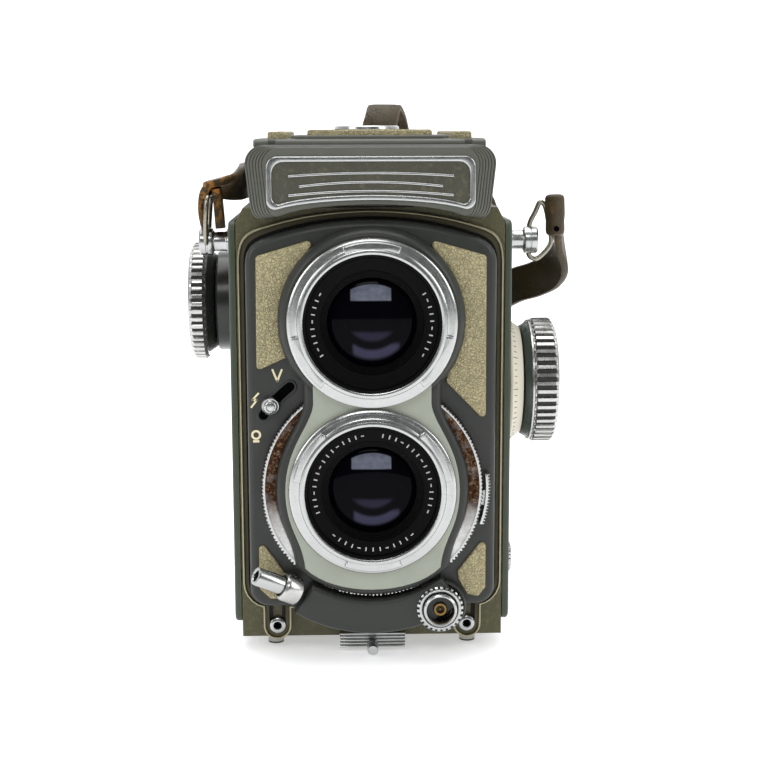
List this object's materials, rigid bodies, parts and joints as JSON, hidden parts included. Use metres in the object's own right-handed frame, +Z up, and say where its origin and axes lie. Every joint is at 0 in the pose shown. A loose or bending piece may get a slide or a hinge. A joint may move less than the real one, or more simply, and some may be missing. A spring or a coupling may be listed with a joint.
{
  "type": "twin lens reflex camera",
  "caption": "Small twin lens reflex camera in grey with beige leather panels: focusing lens standard, folding hood, two side knobs, hinged back and a leather neck strap.",
  "frame": {"origin": "on the floor under the feet, in the middle of the camera's width and depth without its strap", "axes": "+X to the right for someone facing the lenses, -Y out of the lenses, +Z up"},
  "size_m": [0.0903, 0.1806, 0.1231],
  "materials": {
    "wrinkle_paint": "olive wrinkle paint on a metal casting",
    "cover_paint": "smooth grey-green paint",
    "charcoal_paint": "smooth charcoal paint",
    "grey_paint": "smooth mid grey paint",
    "satin_chrome": "satin chrome",
    "silver_paint": "fine silver paint",
    "polished_aluminium": "turned and polished",
    "bare_aluminium": "bare, worn edge",
    "black_metal": "matt black",
    "coated_glass": "coated optical glass over a black cell",
    "mirror_glass": "front silvered",
    "ground_glass": "ground on one face",
    "leatherette": "pebbled beige leather",
    "strap_leather": "aged dark olive brown leather",
    "steel_wire": "tarnished wire",
    "cream_scale": "cream scale ring"
  },
  "bodies": {
    "camera_body": {"body_casting": "wrinkle_paint", "front_trim": "bare_aluminium", "side_cover_left": "cover_paint", "side_cover_right": "cover_paint", "corner_screw_left": "satin_chrome", "corner_screw_right": "satin_chrome", "strap_stud_left": "satin_chrome", "strap_stud_right": "satin_chrome", "strap_bail_left": "steel_wire", "strap_bail_right": "steel_wire", "nameplate_housing": "grey_paint", "nameplate_frame": "satin_chrome", "hood_base": "grey_paint", "focusing_screen": "ground_glass", "mirror": "mirror_glass", "film_gate": "black_metal", "advance_hub": "grey_paint", "neck_strap_left": "strap_leather", "neck_strap_right": "strap_leather", "neck_strap_coil": "strap_leather"},
    "front_standard": {"front_standard": "charcoal_paint", "front_housing": "charcoal_paint", "escutcheon": "silver_paint", "leather_upper_left": "leatherette", "leather_upper_right": "leatherette", "leather_lower_left": "leatherette", "leather_lower_right": "leatherette", "viewing_barrel": "satin_chrome", "taking_barrel": "satin_chrome", "viewing_lens_glass": "coated_glass", "taking_lens_glass": "coated_glass", "shutter_case": "black_metal", "flash_socket": "satin_chrome", "release_collar": "satin_chrome"},
    "focus_knob": {"focus_knob": "polished_aluminium", "focus_scale_skirt": "cream_scale", "focus_shaft": "bare_aluminium"},
    "shutter_ring": {"shutter_ring": "satin_chrome"},
    "aperture_lever": {"aperture_lever": "satin_chrome"},
    "sync_lever": {"sync_lever": "satin_chrome"},
    "release_button": {"release_button": "satin_chrome"},
    "flash_lock_ring": {"flash_lock_ring": "satin_chrome"},
    "film_advance": {"advance_knob": "polished_aluminium", "take_up_spool": "black_metal"},
    "film_roller_lower": {"film_roller_lower": "polished_aluminium"},
    "film_roller_upper": {"film_roller_upper": "polished_aluminium"},
    "spool_pin_upper": {"spool_pin_upper": "satin_chrome"},
    "spool_pin_lower": {"spool_pin_lower": "satin_chrome"},
    "back_door": {"back_door": "wrinkle_paint", "back_door_leather": "leatherette", "pressure_plate": "black_metal", "tripod_socket": "satin_chrome"},
    "back_latch": {"back_latch": "satin_chrome"},
    "hood_lid": {"hood_lid": "grey_paint", "hood_lid_leather": "leatherette", "hood_badge": "satin_chrome", "magnifier": "black_metal"},
    "hood_wall_left": {"hood_wall_left": "grey_paint"},
    "hood_wall_right": {"hood_wall_right": "grey_paint"},
    "hood_wall_back": {"hood_wall_back": "grey_paint"}
  },
  "joints": [
    {"name": "focus_travel", "type": "slide", "parent": "camera_body", "child": "front_standard", "axis": [0, -1, 0], "range_m": [0, 0.0038]},
    {"name": "focus_turn", "type": "hinge", "parent": "camera_body", "child": "focus_knob", "pos_m": [0.036, -0.00675, 0.0592], "axis": [1, 0, 0], "range_deg": [-270, 0]},
    {"name": "shutter_speed_turn", "type": "hinge", "parent": "front_standard", "child": "shutter_ring", "pos_m": [0, -0.0318, 0.0395], "axis": [0, 1, 0], "range_deg": [-60, 60]},
    {"name": "aperture_turn", "type": "hinge", "parent": "front_standard", "child": "aperture_lever", "pos_m": [0, -0.0306, 0.0395], "axis": [0, 1, 0], "range_deg": [-20, 25]},
    {"name": "sync_turn", "type": "hinge", "parent": "front_standard", "child": "sync_lever", "pos_m": [0, -0.0278, 0.0395], "axis": [0, 1, 0], "range_deg": [-5.4, 11.7]},
    {"name": "release_press", "type": "slide", "parent": "front_standard", "child": "release_button", "axis": [0.8251, 0.3497, -0.4437], "range_m": [0, 0.0025], "stiffness_N_per_m": 300},
    {"name": "flash_lock_turn", "type": "hinge", "parent": "front_standard", "child": "flash_lock_ring", "pos_m": [0.01475, -0.033, 0.0126], "axis": [0, 1, 0], "range_deg": [0, 40]},
    {"name": "advance_turn", "type": "hinge", "parent": "camera_body", "child": "film_advance", "pos_m": [-0.036, 0.01435, 0.0758], "axis": [1, 0, 0], "continuous": true},
    {"name": "roller_lower_turn", "type": "hinge", "parent": "camera_body", "child": "film_roller_lower", "pos_m": [0, 0.0306, 0.0151], "axis": [1, 0, 0], "continuous": true},
    {"name": "roller_upper_turn", "type": "hinge", "parent": "camera_body", "child": "film_roller_upper", "pos_m": [0, 0.0306, 0.0641], "axis": [1, 0, 0], "continuous": true},
    {"name": "spool_pin_upper_pull", "type": "slide", "parent": "camera_body", "child": "spool_pin_upper", "axis": [1, 0, 0], "range_m": [0, 0.0035], "stiffness_N_per_m": 150},
    {"name": "spool_pin_lower_pull", "type": "slide", "parent": "camera_body", "child": "spool_pin_lower", "axis": [1, 0, 0], "range_m": [0, 0.0035], "stiffness_N_per_m": 150},
    {"name": "back_door_swing", "type": "hinge", "parent": "camera_body", "child": "back_door", "pos_m": [0, 0.0372, 0.0986], "axis": [1, 0, 0], "range_deg": [0, 90]},
    {"name": "latch_swing", "type": "hinge", "parent": "back_door", "child": "back_latch", "pos_m": [0, -0.0247, 0.0013], "axis": [1, 0, 0], "range_deg": [0, 60]},
    {"name": "hood_lid_lift", "type": "hinge", "parent": "camera_body", "child": "hood_lid", "pos_m": [0, -0.024, 0.1136], "axis": [1, 0, 0], "range_deg": [0, 92]},
    {"name": "hood_wall_left_rise", "type": "hinge", "parent": "camera_body", "child": "hood_wall_left", "pos_m": [-0.0236, 0, 0.1036], "axis": [0, -1, 0], "range_deg": [0, 90]},
    {"name": "hood_wall_right_rise", "type": "hinge", "parent": "camera_body", "child": "hood_wall_right", "pos_m": [0.0236, 0, 0.1036], "axis": [0, 1, 0], "range_deg": [0, 90]},
    {"name": "hood_wall_back_rise", "type": "hinge", "parent": "camera_body", "child": "hood_wall_back", "pos_m": [0, 0.0292, 0.1096], "axis": [-1, 0, 0], "range_deg": [0, 90]}
  ],
  "couplings": [
    {"joint": "focus_turn", "follows": "focus_travel", "rad_per_m": -1240},
    {"joint": "hood_wall_left_rise", "follows": "hood_lid_lift", "ratio": 0.978},
    {"joint": "hood_wall_right_rise", "follows": "hood_lid_lift", "ratio": 0.978},
    {"joint": "hood_wall_back_rise", "follows": "hood_lid_lift", "ratio": 0.978}
  ]
}
